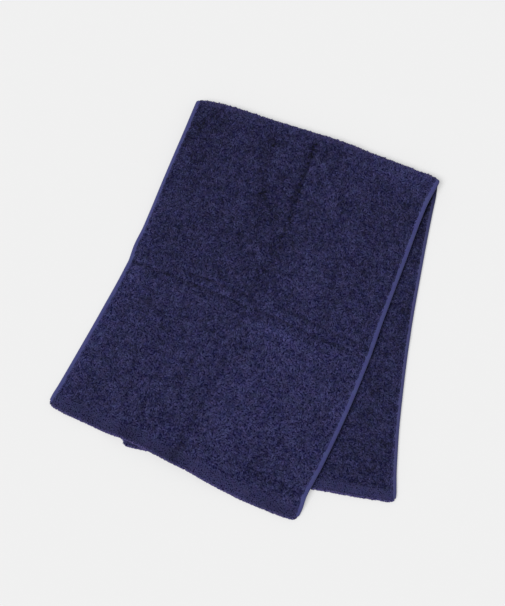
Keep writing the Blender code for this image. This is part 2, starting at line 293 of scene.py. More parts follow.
# How the loops wander: the size of a patch that shares a lie, and how far it swings them.
Wander = namedtuple("Wander", "cell swing seed")
HEADINGS = (Wander(0.034, 2.2, 21), Wander(0.011, 1.6, 22), Wander(0.005, 0.8, 23))
CLUMPS = (Wander(0.0036, 0.18, 31), Wander(0.0075, 0.10, 32))
TONES = (Wander(0.0040, 0.25, 41), Wander(0.0090, 0.11, 42), Wander(0.024, 0.06, 43))

# How far the loops lean over the tape, by face of the cloth and by side.
LEANS = {(1, "left"): 0.0019, (1, "right"): 0.0016, (-1, "left"): 0.0030, (-1, "right"): 0.0025}
END_LEAN = 0.0018
END_LEAN_REACH = 0.0120

# The pieces of pile: which face of the cloth, the stretch of its length in shares, how widely the
# loops are set against the outer face, which of them the other layer leaves in sight, and the seed
# of their scatter.
Patch = namedtuple("Patch", "name face start stop spacing seen seed")
PATCHES = (
    Patch("pile_hem_upper", 1, 0.000, 0.019, 0.72, "all", 10),
    Patch("pile_upper_1", 1, 0.019, 0.144, 1.00, "all", 11),
    Patch("pile_upper_2", 1, 0.144, 0.269, 1.00, "all", 12),
    Patch("pile_upper_3", 1, 0.269, 0.394, 1.00, "all", 13),
    Patch("pile_upper_4", 1, 0.394, 0.490, 1.00, "all", 14),
    Patch("pile_fold", 1, 0.490, 0.513, 0.72, "all", 19),
    Patch("pile_lower_top", -1, 0.507, 0.981, 1.00, "from_above", 15),
    Patch("pile_hem_lower", -1, 0.981, 1.000, 0.72, "from_above", 18),
    Patch("pile_lower_under", 1, 0.513, 1.000, 2.10, "all", 16),
    Patch("pile_upper_under", -1, 0.000, 0.493, 2.10, "from_below", 17),
)
OVERLAP_IN_SIGHT = 0.022

# A loop of yarn: its points along its length, its arch and its taper at each of them, how far its
# flanks drop and how much painted shade darkens them, and the length of yarn that makes one turn of the
# twist's map.
LOOP_POINTS = 4
LOOP_ARCH = np.array([0.0, 1.0, 1.0, 0.0])
LOOP_TAPER = np.array([0.50, 1.0, 1.0, 0.50])
FLANK_DROP = 0.8
FLANK_SHADE = 0.78
TWIST_MAP_LENGTH = 0.004

# How the loops are scattered: their stray from even rows in shares of the spacing, and the spread of
# their heading, length, width, curl, lift and tone. A loop's lift is 1 at the pile's full height, and
# one that lies low takes more of the dark root colour, painted shade deep in the pile.
STRAY = (-0.6, 0.6)
HEADING_SPREAD = 0.7
LENGTHS = (0.65, 1.35)
WIDTHS = (0.8, 1.2)
CURLS = (0.2, 1.0)
MEAN_LIFT = 0.66
LIFTS = (-0.34, 0.34)
LEAST_LIFT = 0.10
LEAST_RISE = 0.30
PILE_TONES = (-0.29, 0.29)
LEAST_TONE = -0.9

# On a hem, within its seam, the loops are shorter, narrower and more even.
HEM_SEAM = 0.003
HEM_RAMP = 0.004
HEM_SHORTER = 0.30
HEM_NARROWER = 0.04
HEM_LIFT = 0.79
HEM_EVEN_LIFT = 0.92
HEM_EVEN_TONE = 0.7

# Round the fold and the loose ends the pile is ragged, and a few of its loops stand up; these loops are
# lightened with painted light.
RAGGED_FOLD = 0.004
RAGGED_END = 0.003
RAGGED_PAINTED_LIGHT = 0.25
STANDING_PAINTED_LIGHT = 0.6
STANDING_RISE = 0.70
FRINGE_LIGHT_REACH = 0.0035

# The loops start at this share of the ground cloth's half thickness. Where they lean on a tape, their
# roots and their crests clear it by these heights.
ROOT_SHARE = 0.7
ROOT_OVER_TAPE = 0.0003
CREST_OVER_TAPE = 0.0005

# The ground cloth keeps this share of its thickness under the tapes. It stops short of the loose
# ends, where the pile goes round it, and the pile stops short of the corners' sides.
LEAST_GROUND = 0.3
END_INSET = 0.0012
CORNER_INSET = 0.0012
# The step over which a surface's slope is taken, and the millimetres in a metre, for the maps.
SLOPE_STEP = 0.0010
MILLIMETRES = 1000.0

# A tape's half section: how far in from the edge, and the rise as a share of its half height.
TAPE_TOP = TAPE_HALF_HEIGHT + TAPE_THICKNESS / 2
TAPE_SECTION = (
    (TAPE_WIDTH, 0.82),
    (TAPE_WIDTH - 0.0006, 1.0),
    (0.0040, 1.04),
    (0.0022, 1.0),
    (0.0010, 0.82),
    (0.0003, 0.45),
    (0.0000, 0.0),
)
STITCH_INSET = 0.0012
STITCH_START = TAPE_END_INSET + 0.003

# The table, the camera's film and the way that the light from the left falls.
TABLE_SIZE = 6.0
FILM_WIDTH = 36.0
LIGHT_WAY = (0.50, 0.62, -1.0)


def length_setting(name, description, default):
    return FloatProperty(
        name=name, description=description, default=default, unit="LENGTH", precision=4)


def angle_setting(name, description, default):
    return FloatProperty(
        name=name, description=description, default=math.radians(default), subtype="ANGLE")


def colour_setting(name, description, default):
    return FloatVectorProperty(
        name=name, description=description, default=default, subtype="COLOR", size=3, min=0.0, max=1.0)


class TowelSizes(bpy.types.PropertyGroup):
    """Sizes of the yarn loops, the ground cloth and the stitches."""

    loop_spacing: length_setting("Loop spacing", "Distance between loops on the outer face", 0.0019)
    loop_length: length_setting("Loop length", "Mean length of a loop as it lies", 0.0052)
    loop_width: length_setting("Loop width", "Width across the two legs of a loop", 0.0019)
    loop_curl: FloatProperty(
        name="Loop curl", description="Most that a loop turns along its length", default=2.2,
        subtype="ANGLE")
    ground_thickness: length_setting(
        "Ground thickness", "Thickness of the woven ground under the pile", 0.0018)
    ground_step: length_setting("Ground step", "Distance between the ground cloth's points", 0.0045)
    tape_step: length_setting("Tape step", "Distance between the tape's points along it", 0.0030)
    stitch_length: length_setting("Stitch length", "Length of a stitch", 0.0024)
    stitch_gap: length_setting("Stitch gap", "Gap between stitches", 0.0010)
    thread_width: length_setting("Thread width", "Width of the sewing thread", 0.0004)


class TowelColours(bpy.types.PropertyGroup):
    """Colours of the towel, in linear light."""

    pile_tip: colour_setting(
        "Pile tips", "Colour of the loops where they catch the light", (0.0396, 0.0396, 0.1130))
    # The roots' colour is painted shade, the dark that lies deep among the loops.
    pile_root: colour_setting(
        "Pile roots", "Colour of the loops near the ground cloth", (0.0027, 0.0027, 0.0360))
    # The fringe colour is painted light: lighter and redder tips for the fuzz along the fold and the
    # loose ends.
    fringe: colour_setting(
        "Fringe", "Colour of the fuzz along the fold and the loose ends", (0.0480, 0.0405, 0.1050))
    # The ground cloth's colour is painted shade: as dark as it looks deep among the loops.
    ground: colour_setting(
        "Ground cloth", "Colour of the woven ground between the loops", (0.0016, 0.0016, 0.0250))
    tape: colour_setting(
        "Side tape", "Colour of the smooth tape along the long sides", (0.047, 0.050, 0.161))
    tape_back: colour_setting(
        "Back of the tape", "Colour of the tape on the inner face", (0.050, 0.051, 0.146))
    thread: colour_setting("Sewing thread", "Colour of the stitches", (0.036, 0.034, 0.120))
    table: colour_setting(
        "Table", "Colour of the surface that the towel lies on", (0.45, 0.45, 0.45))


class TowelStage(bpy.types.PropertyGroup):
    """The camera and the lights."""

    azimuth: angle_setting("Azimuth", "Turn of the camera round the towel", 19.44)
    elevation: angle_setting("Elevation", "Angle of the view above the table", 78.0)
    distance: FloatProperty(
        name="Distance", description="Distance from the camera to its aim", default=1.087,
        unit="LENGTH")
    aim: FloatVectorProperty(
        name="Aim", description="Where the camera looks, from the middle of the fold",
        subtype="XYZ", size=3, unit="LENGTH", default=(-0.0073, -0.2378, 0.0))
    lens: FloatProperty(
        name="Lens", description="Focal length of the camera", default=50.0, min=1.0)
    key_strength: FloatProperty(
        name="Key light", description="Strength of the large light on the left", default=2.6)
    key_size: angle_setting("Key size", "Angle that the large light fills", 35.0)
    # The table's glow is painted light, no lamp: it thins the towel's shadows on the table.
    table_glow: FloatProperty(
        name="Table glow", description="Light that comes up through the table", default=0.385)
    sky_strength: FloatProperty(
        name="Sky light", description="Strength of the even light all round", default=0.44)


def bell(away, reach):
    """1 at no distance, about a third at the reach, and next to 0 at twice the reach."""
    return np.exp(-((away / reach) ** 2))


def smoothstep(x):
    """0 below 0, 1 above 1, and an even rise between."""
    x = np.clip(x, 0.0, 1.0)
    return x * x * (3.0 - 2.0 * x)


def wandering(wander, across, along):
    """A soft random value between -1 and 1, much the same within a cell."""
    rng = np.random.default_rng(wander.seed)
    columns, rows = int(TOWEL_WIDTH / wander.cell) + 3, int(CLOTH_LENGTH / wander.cell) + 3
    knots = rng.uniform(-1.0, 1.0, (rows, columns))
    x, y = across.clip(0) / wander.cell, along.clip(0) / wander.cell
    i, j = x.astype(int), y.astype(int)
    a, b = smoothstep(x - i), smoothstep(y - j)
    near = knots[j, i] * (1 - a) + knots[j, i + 1] * a
    far = knots[j + 1, i] * (1 - a) + knots[j + 1, i + 1] * a
    return near * (1 - b) + far * b


def wander_sum(wanders, across, along):
    return sum(wander.swing * wandering(wander, across, along) for wander in wanders)


def table_value(rows, place, column):
    """A column of a table at places in its first column, on a smooth curve through its rows."""
    knots = np.array([row[0] for row in rows])
    values = np.array([getattr(row, column) for row in rows])
    i = np.clip(np.searchsorted(knots, place, side="right") - 1, 0, len(knots) - 2)
    before, after = np.maximum(i - 1, 0), np.minimum(i + 2, len(knots) - 1)
    span = knots[i + 1] - knots[i]
    t = (place - knots[i]) / span
    p, q = values[i], values[i + 1]
    slope_a = (q - values[before]) / (knots[i + 1] - knots[before]) * span
    slope_b = (values[after] - p) / (knots[after] - knots[i]) * span
    return (
        p * (2 * t**3 - 3 * t**2 + 1)
        + slope_a * (t**3 - 2 * t**2 + t)
        + q * (3 * t**2 - 2 * t**3)
        + slope_b * (t**3 - t**2)
    )


def fold_y(u):
    """Where the flat of a layer begins at the fold, which bows out unevenly."""
    return table_value(FOLD_LINE, u, "out") - FOLD_RADIUS - CLOTH_THICKNESS / 2


def fold_x(u):
    """Where a point of the fold lies across the towel."""
    start = UPPER_SIDES[0]
    return (start.left_x + (start.right_x - start.left_x) * u) * TOWEL_WIDTH


def plan(sides, end_line, u, v):
    """The place in plan of points of a layer, from the middle of the fold."""
    left_x, right_x = table_value(sides, v, "left_x"), table_value(sides, v, "right_x")
    left_y, right_y = table_value(sides, v, "left_y"), table_value(sides, v, "right_y")
    x = (left_x + (right_x - left_x) * u) * TOWEL_WIDTH
    y = (left_y + (right_y - left_y) * u) * HALF_LENGTH + (1.0 - v) * fold_y(u)
    from_side = np.minimum(u, 1.0 - u) * TOWEL_WIDTH
    ease = CORNER_EASE * np.maximum(0.0, 1.0 - from_side / CORNER_REACH) ** 2
    near_end = np.maximum(0.0, 1.0 - (1.0 - v) * HALF_LENGTH / HEM_DEPTH)
    y = y - table_value(end_line, u, "out") * v * v + ease * near_end
    return x, y


def crease_height(creases, u, v):
    """The rise of a layer at its creases: the highest ridge there and the deepest trough."""
    across, along = u * TOWEL_WIDTH, v * HALF_LENGTH
    ridge, trough = np.zeros_like(u), np.zeros_like(u)
    for crease in creases:
        x0, y0 = crease.u0 * TOWEL_WIDTH, crease.v0 * HALF_LENGTH
        dx, dy = crease.u1 * TOWEL_WIDTH - x0, crease.v1 * HALF_LENGTH - y0
        share = np.clip(((across - x0) * dx + (along - y0) * dy) / (dx * dx + dy * dy), 0.0, 1.0)
        away = np.hypot(across - x0 - dx * share, along - y0 - dy * share)
        rise = crease.height * bell(away, crease.width)
        ridge = np.maximum(ridge, rise)
        trough = np.minimum(trough, rise)
    return ridge + trough


def wave_height(u, v):
    """The rise of the loose upper layer, from 0 to WAVE_HEIGHT."""
    total = sum(
        wave.share * np.sin(2 * math.pi * (wave.across * u + wave.along * v) + wave.phase)
        for wave in WAVES
    )
    return WAVE_HEIGHT * (0.5 + 0.5 * total)


def cover(x, y):
    """1 where the upper layer is carried by the lower one, and 0 where it is down on the table."""
    v = np.clip(-y / HALF_LENGTH, 0.0, 1.0)
    left_edge = table_value(LOWER_SIDES, v, "left_x") * TOWEL_WIDTH
    end = LOWER_SIDES[-1]
    slope = (end.right_y - end.left_y) * HALF_LENGTH / ((end.right_x - end.left_x) * TOWEL_WIDTH)
    end_line = end.left_y * HALF_LENGTH + slope * (x - end.left_x * TOWEL_WIDTH)
    inside_left = x - left_edge
    inside_end = y - end_line + LOWER_END_MOST
    return smoothstep((inside_left + EDGE_CLEARANCE + DROP_LENGTH) / DROP_LENGTH) * smoothstep(
        (inside_end + EDGE_CLEARANCE + DROP_LENGTH) / DROP_LENGTH
    )


def upper_point(u, v):
    """Points of the upper layer's middle surface."""
    x, y = plan(UPPER_SIDES, UPPER_END, u, v)
    at_fold = bell(v * HALF_LENGTH, FOLD_EASE)
    resting = CLOTH_THICKNESS + LAYER_GAP
    lift = resting + (2 * FOLD_RADIUS - resting) * at_fold
    loose = crease_height(UPPER_CREASES, u, v) + wave_height(u, v)
    held = cover(x, y)
    height = held * (lift + loose * (1.0 - at_fold)) + (1.0 - held) * np.maximum(loose, 0.0)
    return np.stack([x, y, CLOTH_THICKNESS / 2 + height], axis=-1)


def lower_point(u, v):
    """Points of the lower layer's middle surface."""
    x, y = plan(LOWER_SIDES, LOWER_END, u, v)
    return np.stack([x, y, CLOTH_THICKNESS / 2 + crease_height(LOWER_CREASES, u, v)], axis=-1)


def fold_point(u, turned):
    """Points of the middle surface round the fold, turned from 0 above to pi below."""
    y = fold_y(u) + FOLD_RADIUS * np.sin(turned)
    z = CLOTH_THICKNESS / 2 + FOLD_RADIUS * (1.0 + np.cos(turned))
    return np.stack([fold_x(u), y, z], axis=-1)


def outline_middle():
    """The middle, in plan, of the box round the towel, from the middle of the fold."""
    share = np.linspace(0.0, 1.0, 401)
    left, right = np.zeros_like(share), np.ones_like(share)
    lines = [
        plan(sides, end_line, u, v)
        for sides, end_line in ((UPPER_SIDES, UPPER_END), (LOWER_SIDES, LOWER_END))
        for u, v in ((left, share), (right, share), (share, right))
    ]
    x = np.concatenate([line[0] for line in lines])
    y = np.concatenate([line[1] for line in lines])
    crown = table_value(FOLD_LINE, share, "out").max()
    return (x.min() + x.max()) / 2, (y.min() + crown) / 2


FOLD_MIDDLE = np.array([-outline_middle()[0], -outline_middle()[1], 0.0])


def middle_surface(across, along):
    """The cloth's middle, at distances from its left side and from the upper layer's end."""
    u = across / TOWEL_WIDTH
    upper = upper_point(u, np.clip(1.0 - along / HALF_LENGTH, 0.0, 1.0))
    past_upper = along - HALF_LENGTH
    fold = fold_point(u, np.clip(past_upper / FOLD_RADIUS, 0.0, math.pi))
    past_fold = past_upper - FOLD_LENGTH
    lower = lower_point(u, np.clip(past_fold / HALF_LENGTH, 0.0, 1.0))
    on_lower, on_fold = (past_fold >= 0)[..., None], (past_upper >= 0)[..., None]
    return np.where(on_lower, lower, np.where(on_fold, fold, upper)) + FOLD_MIDDLE


def unit(vectors):
    return vectors / np.linalg.norm(vectors, axis=-1, keepdims=True)


Place = namedtuple("Place", "middle right forward normal")


def cloth_places(across, along):
    """The middle surface with its directions: right over the width, forward from the upper end to
    the lower, and the normal, which is up on the upper layer and down on the lower."""
    left, right = np.maximum(across - SLOPE_STEP, 0), np.minimum(across + SLOPE_STEP, TOWEL_WIDTH)
    back, front = np.maximum(along - SLOPE_STEP, 0), np.minimum(along + SLOPE_STEP, CLOTH_LENGTH)
    over = unit(middle_surface(right, along) - middle_surface(left, along))
    forward = unit(middle_surface(across, front) - middle_surface(across, back))
    return Place(middle_surface(across, along), over, forward, unit(np.cross(over, forward)))


def from_end(along):
    """The distance to the nearer loose end."""
    return np.minimum(along, CLOTH_LENGTH - along)


def from_fold(along):
    """The distance to the crown of the fold."""
    return np.abs(along - CLOTH_LENGTH / 2)


def fold_rim(along):
    """Where the painted light of the fold's crown lies: 1 at the crown of the fold, falling to 0 over
    the upper layer and sooner below.
    """
    past = CLOTH_LENGTH / 2 - along
    reach = np.where(past > 0, FOLD_RIM_LIGHT_REACH[0], FOLD_RIM_LIGHT_REACH[1])
    return bell(past, reach)


def fold_shade(along, reach=SHADE_REACH):
    """1 between the layers at the fold, falling to 0 further in."""
    return bell((from_fold(along) - FOLD_LENGTH / 2).clip(0.0), reach)


def tape_shade(rise, along):
    """The share of shade on the tape near the fold, by its rise from 1 on its outer face to -1 on its
    inner one. Past the crown of the fold its edge lies in the shade too."""
    below = smoothstep((along - CLOTH_LENGTH / 2) / EDGE_SHADE_TURN)
    inner = ((0.5 - 0.5 * rise) * (1.0 + EDGE_SHADE * below)).clip(0.0, 1.0)
    wide, deep = fold_shade(along, TAPE_SHADE_REACH), fold_shade(along, TAPE_DEEP_REACH)
    return inner * (TAPE_SHADE * wide + TAPE_DEEP_SHADE * deep)


def pile_height(across, along):
    """How far the pile reaches from the cloth's middle: nowhere inside the tape, less at a hem's
    seam and round the ends."""
    from_side = np.minimum(across, TOWEL_WIDTH - across)
    end = from_end(along)
    rise = smoothstep((from_side - SELVAGE_WIDTH) / PILE_RAMP)
    rise = np.maximum(rise, 1.0 - smoothstep((end - CORNER_DEPTH) / CORNER_RAMP))
    thin = SELVAGE_THICKNESS / CLOTH_THICKNESS
    rounded = END_THINNING + (1.0 - END_THINNING) * smoothstep(end / END_ROUNDING)
    groove = 1.0 - (1.0 - HEM_GROOVE) * bell(end - HEM_DEPTH, HEM_GROOVE_WIDTH)
    return (thin + (rounded * groove - thin) * rise) * CLOTH_THICKNESS / 2


def over_face(across, along, height, face):
    """Points at a height over one face, with the directions there. Past a loose end they go round
    it, towards the other face."""
    past = np.maximum(END_INSET - along, along - CLOTH_LENGTH + END_INSET).clip(0.0)
    held = along.clip(END_INSET, CLOTH_LENGTH - END_INSET)
    place = cloth_places(across, held)
    angle = np.minimum(past / height, math.pi)[..., None]
    outward = place.forward * np.where(along < CLOTH_LENGTH / 2, -1.0, 1.0)[..., None]
    normal = place.normal * face * np.cos(angle) + outward * np.sin(angle)
    forward = np.cross(normal, place.right) * face
    return Place(place.middle + normal * height[..., None], place.right, forward, normal)


def mesh_piece(name, points, quads, material, numbers=None, maps=None):
    """A smooth mesh of four-sided faces, with its float attributes and its UV maps."""
    mesh = bpy.data.meshes.new(name)
    mesh.vertices.add(len(points))
    mesh.vertices.foreach_set("co", points.astype(np.float32).ravel())
    mesh.loops.add(quads.size)
    mesh.loops.foreach_set("vertex_index", quads.astype(np.int32).ravel())
    mesh.polygons.add(len(quads))
    mesh.polygons.foreach_set("loop_start", np.arange(0, quads.size, 4, dtype=np.int32))
    mesh.update(calc_edges=True)
    mesh.shade_smooth()
    for title, values in (numbers or {}).items():
        field = mesh.attributes.new(title, "FLOAT", "POINT")
        field.data.foreach_set("value", values.astype(np.float32).ravel())
    for title, places in (maps or {}).items():
        layer = mesh.uv_layers.new(name=title)
        layer.uv.foreach_set("vector", places[quads.ravel()].astype(np.float32).ravel())
    mesh.materials.append(material)
    thing = bpy.data.objects.new(name, mesh)
    bpy.context.scene.collection.objects.link(thing)
    return thing


def grid_quads(columns, rows):
    """The faces of a grid of points that is stored row by row."""
    corner = (np.arange(rows - 1)[:, None] * columns + np.arange(columns - 1)[None, :]).ravel()
    return np.stack([corner, corner + 1, corner + columns + 1, corner + columns], axis=-1)


def spread(start, stop, step):
    """Even places from start to stop, about a step apart."""
    return np.linspace(start, stop, max(1, round((stop - start) / step)) + 1)


def length_rows(step, inset):
    """Places along the whole cloth, closer together round the fold."""
    upper = spread(inset, HALF_LENGTH, step)
    fold = spread(HALF_LENGTH, HALF_LENGTH + FOLD_LENGTH, FOLD_RADIUS / 3)
    lower = spread(HALF_LENGTH + FOLD_LENGTH, CLOTH_LENGTH - inset, step)
    return np.concatenate([upper, fold[1:], lower[1:]])


def finish_piece(piece, slot, *nodes):
    """Rides a finished piece on the towel's body."""
    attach(piece, BODY)
    if nodes:
        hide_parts(*nodes)
    return piece


# The sheen of each finish. The tape's map, round its section in millimetres, turns to the back of
# the tape between two places.
SHEEN_ROUGHNESS = 0.5
SPECULAR_LEVEL = 0.15
PILE_SHEEN = 0.05
PILE_SHEEN_TINT = (0.55, 0.55, 1.0)
TAPE_SHEEN = 0.18
THREAD_SHEEN = 0.10
THREAD_SHEEN_TINT = (0.6, 0.6, 1.0)
TAPE_TURN = (7.0, 9.0)


# Shader groups that several finishes share.
def new_group(name, inputs, outputs):
    """A shader node group with named sockets, given as (name, socket type, default)."""
    group = bpy.data.node_groups.new(name, "ShaderNodeTree")
    for title, kind, default in inputs:
        socket = group.interface.new_socket(name=title, in_out="INPUT", socket_type=kind)
        socket.default_value = default
    for title, kind in outputs:
        group.interface.new_socket(name=title, in_out="OUTPUT", socket_type=kind)
    return group, group.nodes.new("NodeGroupInput"), group.nodes.new("NodeGroupOutput")


def feed(tree, socket, source):
    """Gives a socket a plain value, or the value of another socket."""
    if isinstance(source, bpy.types.NodeSocket):
        tree.links.new(source, socket)
    else:
        socket.default_value = source


def wire(tree, kind, settings=None, **sources):
    """A node with its plain settings and its inputs, which are named or numbered like _6."""
    node = tree.nodes.new(kind)
    for title, value in (settings or {}).items():
        setattr(node, title, value)
    for title, source in sources.items():
        feed(tree, node.inputs[int(title[1:])] if title[0] == "_" else node.inputs[title], source)
    return node


def math_node(tree, operation, *values):
    """The result of a Math node."""
    sources = {f"_{i}": value for i, value in enumerate(values)}
    return wire(tree, "ShaderNodeMath", {"operation": operation}, **sources).outputs[0]


def object_place(tree):
    return tree.nodes.new("ShaderNodeTexCoord").outputs["Object"]


def attribute(tree, name):
    return wire(tree, "ShaderNodeAttribute", {"attribute_name": name}).outputs["Fac"]


def uv_map(tree, name):
    return wire(tree, "ShaderNodeUVMap", {"uv_map": name}).outputs["UV"]


def mixed(tree, share, low, high):
    """The colour between two others, by the share of the second."""
    return wire(tree, "ShaderNodeMix", {"data_type": "RGBA"}, _0=share, _6=low, _7=high).outputs[2]


def rgba(colour):
    return (*colour, 1.0)


def dye_and_painted_light():
    """Uneven dye: a colour made lighter and darker in soft patches and in small flecks, with slight
    changes of its hue and its depth, and by a given tone that carries painted light and shade where a
    material feeds it."""
    group, given, result = new_group(
        "dye_and_painted_light",
        [
            ("Colour", "NodeSocketColor", (0.05, 0.05, 0.15, 1.0)),
            ("Patch Amount", "NodeSocketFloat", 0.2),
            ("Fleck Amount", "NodeSocketFloat", 0.1),
            ("Tone", "NodeSocketFloat", 0.5),
            ("Tone Amount", "NodeSocketFloat", 0.0),
            ("Hue Amount", "NodeSocketFloat", 0.04),
            ("Depth Amount", "NodeSocketFloat", 0.10),
        ],
        [("Colour", "NodeSocketColor")],
    )
    place = object_place(group)
    patches = wire(group, "ShaderNodeTexNoise", Vector=place, Scale=38.0, Detail=2.0, Roughness=0.55)
    flecks = wire(group, "ShaderNodeTexNoise", Vector=place, Scale=620.0, Detail=1.0, Roughness=0.5)
    value = 1.0
    for source, amount in (
        (patches.outputs["Fac"], given.outputs["Patch Amount"]),
        (flecks.outputs["Fac"], given.outputs["Fleck Amount"]),
        (given.outputs["Tone"], given.outputs["Tone Amount"]),
    ):
        centred = math_node(group, "MULTIPLY_ADD", source, 2.0, -1.0)
        value = math_node(group, "MULTIPLY_ADD", centred, amount, value)
    hues = wire(group, "ShaderNodeTexNoise", Vector=place, Scale=110.0, Detail=3.0, Roughness=0.7)
    parts = wire(group, "ShaderNodeSeparateColor", Color=hues.outputs["Color"])
    aside = math_node(group, "SUBTRACT", parts.outputs["Red"], 0.5)
    hue = math_node(group, "MULTIPLY_ADD", aside, given.outputs["Hue Amount"], 0.5)
    deeper = math_node(group, "MULTIPLY_ADD", parts.outputs["Green"], 2.0, -1.0)
    depth = math_node(group, "MULTIPLY_ADD", deeper, given.outputs["Depth Amount"], 1.0)
    toned = wire(
        group, "ShaderNodeHueSaturation", Color=given.outputs["Colour"],
        Value=value, Hue=hue, Saturation=depth,
    )
    group.links.new(toned.outputs["Color"], result.inputs["Colour"])
    return group


def twisted_yarn():
    """Twisted yarn: the height of its strands, from a map that has its length along Y."""
    group, given, result = new_group(
        "twisted_yarn",
        [
            ("Map", "NodeSocketVector", (0.0, 0.0, 0.0)),
            ("Turns", "NodeSocketFloat", 9.0),
            ("Slant", "NodeSocketFloat", 0.9),
            ("Fuzz", "NodeSocketFloat", 0.35),
        ],
        [("Height", "NodeSocketFloat"), ("Strand", "NodeSocketFloat")],
    )
    parts = wire(group, "ShaderNodeSeparateXYZ", Vector=given.outputs["Map"])
    slanted = math_node(group, "MULTIPLY", parts.outputs["X"], given.outputs["Slant"])
    turned = math_node(group, "ADD", parts.outputs["Y"], slanted)
    turns = math_node(group, "MULTIPLY", turned, given.outputs["Turns"])
    angle = math_node(group, "MULTIPLY", turns, math.tau)
    strand = math_node(group, "MULTIPLY_ADD", math_node(group, "SINE", angle), 0.5, 0.5)
    fuzz = wire(group, "ShaderNodeTexNoise", Vector=object_place(group), Scale=2600.0, Detail=2.0)
    height = math_node(group, "MULTIPLY_ADD", fuzz.outputs["Fac"], given.outputs["Fuzz"], strand)
    group.links.new(height, result.inputs["Height"])
    group.links.new(strand, result.inputs["Strand"])
    return group


def close_weave():
    """A close plain weave, from a map in millimetres: the height of its threads and the gaps."""
    group, given, result = new_group(
        "close_weave",
        [
            ("Map", "NodeSocketVector", (0.0, 0.0, 0.0)),
            ("Warp Pitch", "NodeSocketFloat", 0.45),
            ("Weft Pitch", "NodeSocketFloat", 0.6),
        ],
        [("Height", "NodeSocketFloat"), ("Gap", "NodeSocketFloat")],
    )
    parts = wire(group, "ShaderNodeSeparateXYZ", Vector=given.outputs["Map"])
    warp = math_node(group, "DIVIDE", parts.outputs["X"], given.outputs["Warp Pitch"])
    weft = math_node(group, "DIVIDE", parts.outputs["Y"], given.outputs["Weft Pitch"])
    warp_wave, weft_wave = (
        math_node(group, "SINE", math_node(group, "MULTIPLY", threads, math.pi))
        for threads in (warp, weft)
    )
    rise = math_node(group, "ABSOLUTE", math_node(group, "MULTIPLY", warp_wave, weft_wave))
    gap = math_node(group, "SUBTRACT", 1.0, math_node(group, "POWER", rise, 0.5))
    group.links.new(rise, result.inputs["Height"])
    group.links.new(gap, result.inputs["Gap"])
    return group


def place_group(tree, maker, **sources):
    """A shared group, made at its first use, with its own values in this tree."""
    group = bpy.data.node_groups.get(maker.__name__) or maker()
    node = wire(tree, "ShaderNodeGroup", {"node_tree": group})
    for title, source in sources.items():
        feed(tree, node.inputs[title.replace("_", " ")], source)
    return node


def new_material(name, sheen, sheen_tint):
    """A cloth material with its constant sheen, and no gloss to speak of."""
    material = bpy.data.materials.new(name)
    material.use_nodes = True
    shader = material.node_tree.nodes["Principled BSDF"]
    shader.inputs["Sheen Weight"].default_value = sheen
    shader.inputs["Sheen Roughness"].default_value = SHEEN_ROUGHNESS
    shader.inputs["Sheen Tint"].default_value = rgba(sheen_tint)
    shader.inputs["Specular IOR Level"].default_value = SPECULAR_LEVEL
    return material, material.node_tree, shader


Relief = namedtuple("Relief", "height strength depth")


def dress(tree, shader, rough, relief, **dye):
    """Gives a cloth its uneven dye with the painted light and shade of its tone, its roughness as a
    mask, a factor and a level, and its relief.
    """
    dyed = place_group(tree, dye_and_painted_light, **dye)
    tree.links.new(dyed.outputs["Colour"], shader.inputs["Base Color"])
    tree.links.new(math_node(tree, "MULTIPLY_ADD", *rough), shader.inputs["Roughness"])
    bump = wire(
        tree, "ShaderNodeBump",
        Height=relief.height, Strength=relief.strength, Distance=relief.depth,
    )
    tree.links.new(bump.outputs["Normal"], shader.inputs["Normal"])


def pile_material(colours):
    """Looped cotton yarn: dark at its roots, lighter on the crest of each loop, by a painted shade that
    mixes the roots' colour into low loops and flanks.
    """
    material, tree, shader = new_material("looped_pile", PILE_SHEEN, PILE_SHEEN_TINT)
    yarn = place_group(tree, twisted_yarn, Map=uv_map(tree, "yarn"))
    # The tips turn to the fringe's painted light colour along the fold and the loose ends.
    tip = mixed(tree, attribute(tree, "fringe"), rgba(colours.pile_tip), rgba(colours.fringe))
    dress(
        tree, shader, (yarn.outputs["Strand"], -0.12, 0.97),
        Relief(yarn.outputs["Height"], 0.35, 0.0002),
        Colour=mixed(tree, attribute(tree, "crest"), rgba(colours.pile_root), tip),
        Patch_Amount=0.10, Fleck_Amount=0.15, Tone=attribute(tree, "tone"), Tone_Amount=1.0,
        Hue_Amount=0.06, Depth_Amount=0.13,
    )
    return material


def ground_material(colours):
    """The woven ground, which shows only as dark gaps between the loops; its dark colour is painted
    shade deep in the pile.
    """
    material, tree, shader = new_material("woven_ground", PILE_SHEEN, PILE_SHEEN_TINT)
    weave = place_group(
        tree, close_weave, Map=uv_map(tree, "cloth"), Warp_Pitch=1.1, Weft_Pitch=1.3)
    gap = weave.outputs["Gap"]
    # The weave's gaps are darker: painted shade between its threads.
    dress(
        tree, shader, (gap, 0.05, 0.93), Relief(weave.outputs["Height"], 0.6, 0.0004),
        Colour=rgba(colours.ground), Patch_Amount=0.16, Fleck_Amount=0.25, Tone=gap, Tone_Amount=-0.3,
    )
    return material


